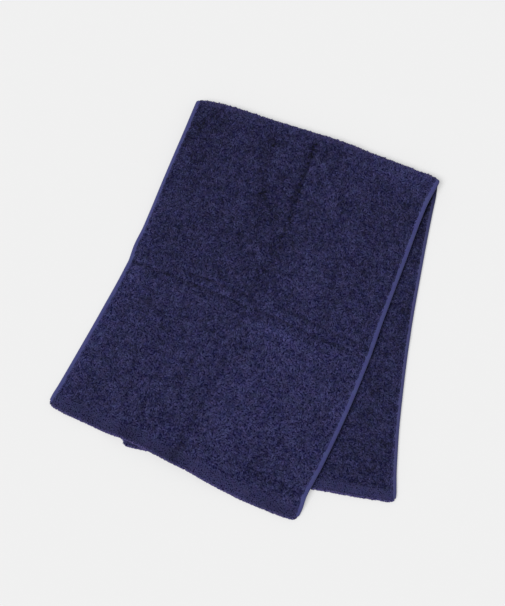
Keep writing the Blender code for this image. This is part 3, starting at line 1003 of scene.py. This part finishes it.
def tape_material(colours):
    """Smooth woven tape, a lighter blue violet than the pile, with fine cross ribs. The tape's map
    runs in millimetres round its section, and past the edge it has the colour of its back."""
    material, tree, shader = new_material("woven_tape", TAPE_SHEEN, THREAD_SHEEN_TINT)
    tape_map = uv_map(tree, "tape")
    weave = place_group(tree, close_weave, Map=tape_map, Warp_Pitch=0.5, Weft_Pitch=0.7)
    round_section = wire(tree, "ShaderNodeSeparateXYZ", Vector=tape_map).outputs["X"]
    back = wire(
        tree, "ShaderNodeMapRange", Value=round_section, _1=TAPE_TURN[0], _2=TAPE_TURN[1])
    colour = mixed(tree, back.outputs["Result"], rgba(colours.tape), rgba(colours.tape_back))
    gap = weave.outputs["Gap"]
    # The weave's gaps are darker: painted shade between its threads.
    dress(
        tree, shader, (gap, 0.12, 0.78), Relief(weave.outputs["Height"], 0.5, 0.00015),
        Colour=mixed(tree, attribute(tree, "shade"), colour, rgba(colours.ground)),
        Patch_Amount=0.12, Fleck_Amount=0.10, Tone=gap, Tone_Amount=-0.25,
    )
    return material


def thread_material(colours):
    """Polished sewing thread."""
    material, tree, shader = new_material("sewing_thread", THREAD_SHEEN, THREAD_SHEEN_TINT)
    yarn = place_group(tree, twisted_yarn, Map=uv_map(tree, "yarn"), Turns=6.0, Fuzz=0.1)
    strand = yarn.outputs["Strand"]
    # Each strand of the twist is lighter on its ridge: painted light.
    dress(
        tree, shader, (strand, -0.15, 0.75), Relief(yarn.outputs["Height"], 0.4, 0.0001),
        Colour=rgba(colours.thread), Patch_Amount=0.08, Fleck_Amount=0.05, Tone=strand,
        Tone_Amount=0.20,
    )
    return material


def table_material(colours, painted_glow):
    """A plain pale surface that glows a little, painted light that thins the shadows on it, with the
    least unevenness.
    """
    material, tree, shader = new_material("pale_table", 0.0, (1.0, 1.0, 1.0))
    dye = place_group(
        tree, dye_and_painted_light, Colour=rgba(colours.table), Patch_Amount=0.004, Fleck_Amount=0.004)
    tree.links.new(dye.outputs["Colour"], shader.inputs["Base Color"])
    shader.inputs["Roughness"].default_value = 1.0
    shader.inputs["Specular IOR Level"].default_value = 0.0
    # Painted light: the table glows and so thins the shadows on it.
    shader.inputs["Emission Color"].default_value = (1.0, 1.0, 1.0, 1.0)
    shader.inputs["Emission Strength"].default_value = painted_glow
    return material


Loops = namedtuple(
    "Loops", "across along heading length width curl crest root tone lift fringe left right"
)


def loop_mesh(name, loops, face, material):
    """Loops of yarn as one mesh: each is a low arch with a rounded back, bent as it lies."""
    count = len(loops.across)
    step = np.linspace(-0.5, 0.5, LOOP_POINTS)
    turn = loops.curl[:, None] * step
    ahead = loops.length[:, None] * step * np.sinc(turn / math.pi)
    aside = loops.length[:, None] * step * np.sinc(turn / math.tau) * np.sin(turn / 2)
    cos, sin = np.cos(loops.heading)[:, None], np.sin(loops.heading)[:, None]
    across = loops.across[:, None] + ahead * cos - aside * sin
    along = loops.along[:, None] + ahead * sin + aside * cos
    across = across.clip(loops.left[:, None], loops.right[:, None])
    height = loops.root[:, None] + (loops.crest - loops.root)[:, None] * LOOP_ARCH
    place = over_face(across, along, height, face)
    pointing = loops.heading[:, None] + turn
    side = -np.sin(pointing)[..., None] * place.right + np.cos(pointing)[..., None] * place.forward
    half = (loops.width[:, None] * LOOP_TAPER / 2)[..., None]
    below = place.middle - place.normal * half * FLANK_DROP
    points = np.stack([below - side * half, place.middle, below + side * half], axis=2)
    points[..., 2] = points[..., 2].clip(0.0, None)
    first = np.arange(count)[:, None, None] * LOOP_POINTS * 3
    base = first + np.arange(LOOP_POINTS - 1)[None, :, None] * 3 + np.arange(2)[None, None, :]
    quads = np.stack([base, base + 1, base + 4, base + 3], axis=-1).reshape(-1, 4)
    if face > 0:
        quads = quads[:, ::-1]
    run = loops.length[:, None] * (step + 0.5) / TWIST_MAP_LENGTH
    yarn_x, yarn_y, tone, fringe = (
        np.broadcast_to(values, (count, LOOP_POINTS, 3))
        for values in (
            np.array([0.0, 0.5, 1.0]), run[..., None],
            loops.tone[:, None, None], loops.fringe[:, None, None],
        )
    )
    # The crest share mixes the tips towards the roots' painted shade, on low loops and on the flanks.
    raised = (loops.lift[:, None] * LOOP_ARCH)[..., None]
    crest = raised * np.array([FLANK_SHADE, 1.0, FLANK_SHADE])
    return mesh_piece(
        name, points.reshape(-1, 3), quads, material,
        numbers={"tone": tone, "crest": crest, "fringe": fringe},
        maps={
            "yarn": np.stack([yarn_x, yarn_y], axis=-1).reshape(-1, 2),
            "OFBake": bake_cells(count).reshape(-1, 2),
        },
    )


def bake_cells(count):
    """A small cell of the picture square for each loop, with its length along the cell."""
    cells = math.ceil(math.sqrt(count))
    index = np.arange(count)
    corner = np.stack([index % cells, index // cells], axis=-1)[:, None, None, :]
    across = np.array([0.1, 0.5, 0.9])[None, None, :]
    along = np.linspace(0.1, 0.9, LOOP_POINTS)[None, :, None]
    inside = np.stack(np.broadcast_arrays(across, along), axis=-1)
    return (corner + inside) / cells


def lie_tone(across, along):
    """The share by which the upper layer's outer face is lighter or darker: painted shade on the half
    by the fold, painted light and shade on the creases and in listed patches, and a change from left to
    right on the loose half.
    """
    v = 1.0 - along / HALF_LENGTH
    loose = smoothstep((v - TONE_STEP_AT) / TONE_STEP_REACH / 2 + 0.5)
    u, du, dv = across / TOWEL_WIDTH, SLOPE_STEP / TOWEL_WIDTH, SLOPE_STEP / HALF_LENGTH
    to_right = smoothstep((u - LOOSE_TURN_AT) / LOOSE_TURN_WIDTH)
    loose_tone = LOOSE_LEFT_TONE + (LOOSE_RIGHT_TONE - LOOSE_LEFT_TONE) * to_right
    # Painted shade on the half by the fold.
    tone = FOLD_HALF_PAINTED_SHADE + (loose_tone - FOLD_HALF_PAINTED_SHADE) * loose
    height = crease_height(UPPER_CREASES, u, v)
    rise_across = (crease_height(UPPER_CREASES, u + du, v) - height) / SLOPE_STEP
    rise_along = (crease_height(UPPER_CREASES, u, v - dv) - height) / SLOPE_STEP
    # Painted light on slopes that face the light, painted shade on those that face away and in the
    # troughs.
    tone = tone + SLOPE_PAINTED_LIGHT * (LIGHT_FROM[0] * rise_across + LIGHT_FROM[1] * rise_along)
    tone = tone + TROUGH_PAINTED_SHADE * height.clip(None, 0.0)
    # Listed patches of painted light and shade.
    for light_patch in PAINTED_LIGHT_PATCHES:
        x = (across - light_patch.u * TOWEL_WIDTH) / light_patch.across
        y = (v - light_patch.v) * HALF_LENGTH / light_patch.along
        tone = tone + light_patch.tone * np.exp(-(x * x + y * y))
    return tone


def in_sight(patch, across, along):
    """Which loops of an inner face the other layer doesn't hide, with some way in from its edges."""
    if patch.seen == "all":
        return np.ones(across.shape, bool)
    points = middle_surface(across, along) - FOLD_MIDDLE
    x, y = points[..., 0], points[..., 1]
    sides, end_line = (
        (UPPER_SIDES, UPPER_END) if patch.seen == "from_above" else (LOWER_SIDES, LOWER_END)
    )
    v = np.linspace(0.0, 1.0, 201)
    left = plan(sides, end_line, np.zeros_like(v), v)
    right = plan(sides, end_line, np.ones_like(v), v)
    end = plan(sides, end_line, v, np.ones_like(v))
    left_x = np.interp(y, left[1][::-1], left[0][::-1])
    right_x = np.interp(y, right[1][::-1], right[0][::-1])
    end_y = np.interp(x, end[0], end[1])
    inside = np.minimum(np.minimum(x - left_x, right_x - x), y - end_y)
    own_edge = np.minimum(np.minimum(across, TOWEL_WIDTH - across), from_end(along))
    return (inside < OVERLAP_IN_SIGHT) | (own_edge < OVERLAP_IN_SIGHT)


def scatter_loops(patch, sizes):
    """Uneven rows of loops on a stretch of the cloth, finer and flatter on the hems, leaning over
    the tapes and a little ragged round the fold and the ends."""
    rng = np.random.default_rng(patch.seed)
    step = sizes.loop_spacing * patch.spacing
    columns = spread(CORNER_INSET + step / 2, TOWEL_WIDTH - CORNER_INSET - step / 2, step)
    rows = spread(patch.start * CLOTH_LENGTH + step / 2, patch.stop * CLOTH_LENGTH - step / 2, step)
    across, along = (grid.ravel() for grid in np.meshgrid(columns, rows))
    across = across + rng.uniform(*STRAY, across.size) * step
    along = along + rng.uniform(*STRAY, along.size) * step
    at_corner = from_end(along) < TAPE_END_INSET
    bare = SELVAGE_WIDTH - END_LEAN * bell(from_end(along), END_LEAN_REACH)
    left = np.where(at_corner, CORNER_INSET, bare - LEANS[patch.face, "left"])
    right = TOWEL_WIDTH - np.where(at_corner, CORNER_INSET, bare - LEANS[patch.face, "right"])
    kept = in_sight(patch, across, along) & (across > left) & (across < right)
    across, along, at_corner, left, right = (
        values[kept] for values in (across, along, at_corner, left, right)
    )
    count, end = across.size, from_end(along)
    hem = smoothstep((HEM_DEPTH - HEM_SEAM - end) / HEM_RAMP)
    size = patch.spacing**0.5
    heading = wander_sum(HEADINGS, across, along) + rng.normal(0.0, HEADING_SPREAD, count)
    length = sizes.loop_length * size * rng.uniform(*LENGTHS, count) * (1.0 - HEM_SHORTER * hem)
    width = sizes.loop_width * size * rng.uniform(*WIDTHS, count) * (1.0 - HEM_NARROWER * hem)
    curl = sizes.loop_curl * rng.uniform(*CURLS, count) * rng.choice([-1.0, 1.0], count)
    lift = MEAN_LIFT + wander_sum(CLUMPS, across, along) + rng.uniform(*LIFTS, count)
    lift = (lift + (HEM_LIFT - lift) * HEM_EVEN_LIFT * hem).clip(LEAST_LIFT, 1.0)
    ragged = bell(from_fold(along), RAGGED_FOLD) + bell(end, RAGGED_END)
    standing = ragged * rng.uniform(0.0, 1.0, count) ** 3
    full = pile_height(across, along) * (1.0 + STANDING_RISE * standing)
    ground = sizes.ground_thickness / 2 * ROOT_SHARE
    crest = ground + (full - ground).clip(0.0) * (LEAST_RISE + (1.0 - LEAST_RISE) * lift)
    from_side = np.minimum(across, TOWEL_WIDTH - across)
    on_tape = smoothstep((SELVAGE_WIDTH + PILE_RAMP - from_side) / PILE_RAMP) * ~at_corner
    over_tape = TAPE_TOP + CREST_OVER_TAPE * (1.0 + lift)
    crest = crest + (np.maximum(crest, over_tape) - crest) * on_tape
    root = ground + (TAPE_TOP + ROOT_OVER_TAPE - ground) * on_tape
    tone = wander_sum(TONES, across, along) + rng.uniform(*PILE_TONES, count)
    tone = tone * (1.0 - HEM_EVEN_TONE * hem) + HEM_TONE * hem
    # Painted light on the ragged and standing loops at the fold and the loose ends.
    tone = tone + FRINGE_PAINTED_LIGHT * (RAGGED_PAINTED_LIGHT * ragged + STANDING_PAINTED_LIGHT * standing)
    roll = sum(line.tone * bell(end - line.from_end, line.width) for line in ROLL_LINES)
    # Where the painted light along the fold's crown lies.
    rim_light = fold_rim(along)
    if patch.face > 0:
        tone = tone + lie_tone(across, along) + UPPER_ROLL_SHARE * roll + FOLD_RIM_PAINTED_LIGHT * rim_light
    else:
        tone = tone + LOWER_TONE + LOWER_HEM_TONE * hem + SHADE_TONE * fold_shade(along) + roll
    tone = 0.5 + 0.5 * tone.clip(LEAST_TONE, None)
    # Where the tips take the fringe's painted light colour.
    fringe = (rim_light + bell(end, FRINGE_LIGHT_REACH)).clip(0.0, 1.0)
    return Loops(
        across, along, heading, length, width, curl, crest, root, tone, lift, fringe, left, right
    )


class TOWEL_OT_stage(bpy.types.Operator):
    """Adds the pale table, the lights and the camera"""

    bl_idname = "towel.stage"
    bl_label = "Stage"

    def execute(self, context):
        scene = context.scene
        stage = scene.towel_stage
        bpy.ops.mesh.primitive_plane_add(size=TABLE_SIZE)
        table = context.active_object
        table.name = "pale_table"
        table.data.materials.append(table_material(scene.towel_colours, stage.table_glow))
        world = bpy.data.worlds.new("even_sky")
        world.use_nodes = True
        sky = world.node_tree.nodes["Background"]
        sky.inputs["Color"].default_value = (1.0, 1.0, 1.0, 1.0)
        sky.inputs["Strength"].default_value = stage.sky_strength
        scene.world = world
        lamp = bpy.data.lights.new("left_light", "SUN")
        lamp.energy = stage.key_strength
        lamp.angle = stage.key_size
        key = bpy.data.objects.new("left_light", lamp)
        key.rotation_mode = "QUATERNION"
        key.rotation_quaternion = Vector(LIGHT_WAY).to_track_quat("-Z", "Y")
        scene.collection.objects.link(key)
        level = math.cos(stage.elevation)
        back = Vector((
            math.sin(stage.azimuth) * level, -math.cos(stage.azimuth) * level,
            math.sin(stage.elevation),
        ))
        data = bpy.data.cameras.new("camera")
        data.lens = stage.lens
        data.sensor_width = FILM_WIDTH
        camera = bpy.data.objects.new("camera", data)
        camera.location = Vector(stage.aim) + Vector(FOLD_MIDDLE) + back * stage.distance
        camera.rotation_mode = "QUATERNION"
        camera.rotation_quaternion = (-back).to_track_quat("-Z", "Y")
        scene.collection.objects.link(camera)
        scene.camera = camera
        scene.view_settings.view_transform = "Standard"
        return {"FINISHED"}


class TOWEL_OT_ground(bpy.types.Operator):
    """Adds the woven ground cloth, one sheet from end to end round the fold"""

    bl_idname = "towel.ground"
    bl_label = "Ground cloth"

    def execute(self, context):
        sizes, colours = context.scene.towel_sizes, context.scene.towel_colours
        columns = spread(SELVAGE_INSET, TOWEL_WIDTH - SELVAGE_INSET, sizes.ground_step)
        rows = length_rows(sizes.ground_step, END_INSET)
        across, along = (grid.ravel() for grid in np.meshgrid(columns, rows))
        points = middle_surface(across, along)
        cloth_map = np.stack([across, along], axis=-1) * MILLIMETRES
        ground = mesh_piece(
            "ground_cloth", points, grid_quads(len(columns), len(rows)), ground_material(colours),
            maps={"cloth": cloth_map},
        )
        solid = ground.modifiers.new("thickness", "SOLIDIFY")
        solid.thickness = sizes.ground_thickness
        solid.offset = 0.0
        solid.vertex_group = "pile"
        group = ground.vertex_groups.new(name="pile")
        shares = (pile_height(across, along) / (CLOTH_THICKNESS / 2)).clip(LEAST_GROUND, 1.0)
        for index, share in enumerate(shares):
            group.add([index], float(share), "REPLACE")
        finish_piece(ground, "terry", "terry_cloth")
        return {"FINISHED"}


class TOWEL_OT_pile(bpy.types.Operator):
    """Adds the looped pile, in pieces for each stretch and face of the cloth"""

    bl_idname = "towel.pile"
    bl_label = "Looped pile"

    def execute(self, context):
        sizes, colours = context.scene.towel_sizes, context.scene.towel_colours
        material = pile_material(colours)
        for patch in PATCHES:
            loops = scatter_loops(patch, sizes)
            finish_piece(loop_mesh(patch.name, loops, patch.face, material), "terry")
        return {"FINISHED"}


class TOWEL_OT_tapes(bpy.types.Operator):
    """Adds the smooth tape bound over each long side"""

    bl_idname = "towel.tapes"
    bl_label = "Side tapes"

    def execute(self, context):
        sizes, colours = context.scene.towel_sizes, context.scene.towel_colours
        material = tape_material(colours)
        section = list(TAPE_SECTION) + [(inward, -rise) for inward, rise in reversed(TAPE_SECTION[:-1])]
        inward = np.array([place[0] for place in section])
        height = np.array([place[1] for place in section]) * TAPE_HALF_HEIGHT
        girth = np.concatenate([[0.0], np.cumsum(np.hypot(np.diff(inward), np.diff(height)))])
        rows = length_rows(sizes.tape_step, TAPE_END_INSET)
        along = np.repeat(rows, len(section))
        rise = np.tile(height, len(rows))
        shade = tape_shade(rise / TAPE_HALF_HEIGHT, along)
        tape_map = np.stack([np.tile(girth, len(rows)), along], axis=-1) * MILLIMETRES
        quads = grid_quads(len(section), len(rows))
        for side in ("left", "right"):
            across = np.tile(inward, len(rows))
            if side == "right":
                across, quads = TOWEL_WIDTH - across, quads[:, ::-1]
            place = cloth_places(across, along)
            points = place.middle + place.normal * rise[:, None]
            tape = mesh_piece(
                f"tape_{side}", points, quads, material,
                numbers={"shade": shade}, maps={"tape": tape_map},
            )
            solid = tape.modifiers.new("thickness", "SOLIDIFY")
            solid.thickness = TAPE_THICKNESS
            solid.offset = 0.0
            finish_piece(tape, "side_tape", f"side_tape_{side}")
        return {"FINISHED"}


class TOWEL_OT_stitches(bpy.types.Operator):
    """Adds the rows of stitches along the tapes"""

    bl_idname = "towel.stitches"
    bl_label = "Stitches"

    def execute(self, context):
        sizes, colours = context.scene.towel_sizes, context.scene.towel_colours
        material = thread_material(colours)
        pitch = sizes.stitch_length + sizes.stitch_gap
        run = spread(STITCH_START, CLOTH_LENGTH - STITCH_START, pitch)
        inset = TAPE_WIDTH - STITCH_INSET
        across = np.repeat([inset, TOWEL_WIDTH - inset], len(run))
        same = np.ones(across.size)
        loops = Loops(
            across=across, along=np.tile(run, 2), heading=same * math.pi / 2,
            length=same * sizes.stitch_length, width=same * sizes.thread_width, curl=same * 0.0,
            crest=same * (TAPE_TOP + sizes.thread_width / 3),
            root=same * (TAPE_TOP - sizes.thread_width / 2),
            tone=same * 0.5, lift=same, fringe=same * 0.0,
            left=across - sizes.stitch_length, right=across + sizes.stitch_length,
        )
        for name, face in (("stitches_outer", 1), ("stitches_inner", -1)):
            finish_piece(loop_mesh(name, loops, face, material), "side_tape")
        return {"FINISHED"}


class TOWEL_PT_panel(bpy.types.Panel):
    """Lists the towel's pieces, sizes and colours in the sidebar"""

    bl_idname = "TOWEL_PT_panel"
    bl_label = "Terry towel"
    bl_space_type = "VIEW_3D"
    bl_region_type = "UI"
    bl_category = "Towel"

    def draw(self, context):
        layout = self.layout
        for operator in PIECE_OPERATORS:
            layout.operator(operator.bl_idname)
        for name, group in SETTINGS:
            box = layout.box()
            for setting in group.__annotations__:
                box.prop(getattr(context.scene, name), setting)


PIECE_OPERATORS = (
    TOWEL_OT_stage, TOWEL_OT_ground, TOWEL_OT_pile, TOWEL_OT_tapes, TOWEL_OT_stitches,
)
SETTINGS = (
    ("towel_sizes", TowelSizes), ("towel_colours", TowelColours), ("towel_stage", TowelStage),
)


def register():
    for name, group in SETTINGS:
        bpy.utils.register_class(group)
        setattr(bpy.types.Scene, name, PointerProperty(type=group))
    for item in (*PIECE_OPERATORS, TOWEL_PT_panel):
        bpy.utils.register_class(item)


def unregister():
    for item in (TOWEL_PT_panel, *reversed(PIECE_OPERATORS)):
        bpy.utils.unregister_class(item)
    for name, group in reversed(SETTINGS):
        delattr(bpy.types.Scene, name)
        bpy.utils.unregister_class(group)


def main():
    register()
    bpy.ops.towel.stage()
    bpy.ops.towel.ground()
    bpy.ops.towel.pile()
    bpy.ops.towel.tapes()
    bpy.ops.towel.stitches()
    on_cloth = [patch.name for patch in PATCHES]
    on_cloth += ["tape_left", "tape_right", "stitches_outer", "stitches_inner"]


if __name__ == "__main__":
    main()
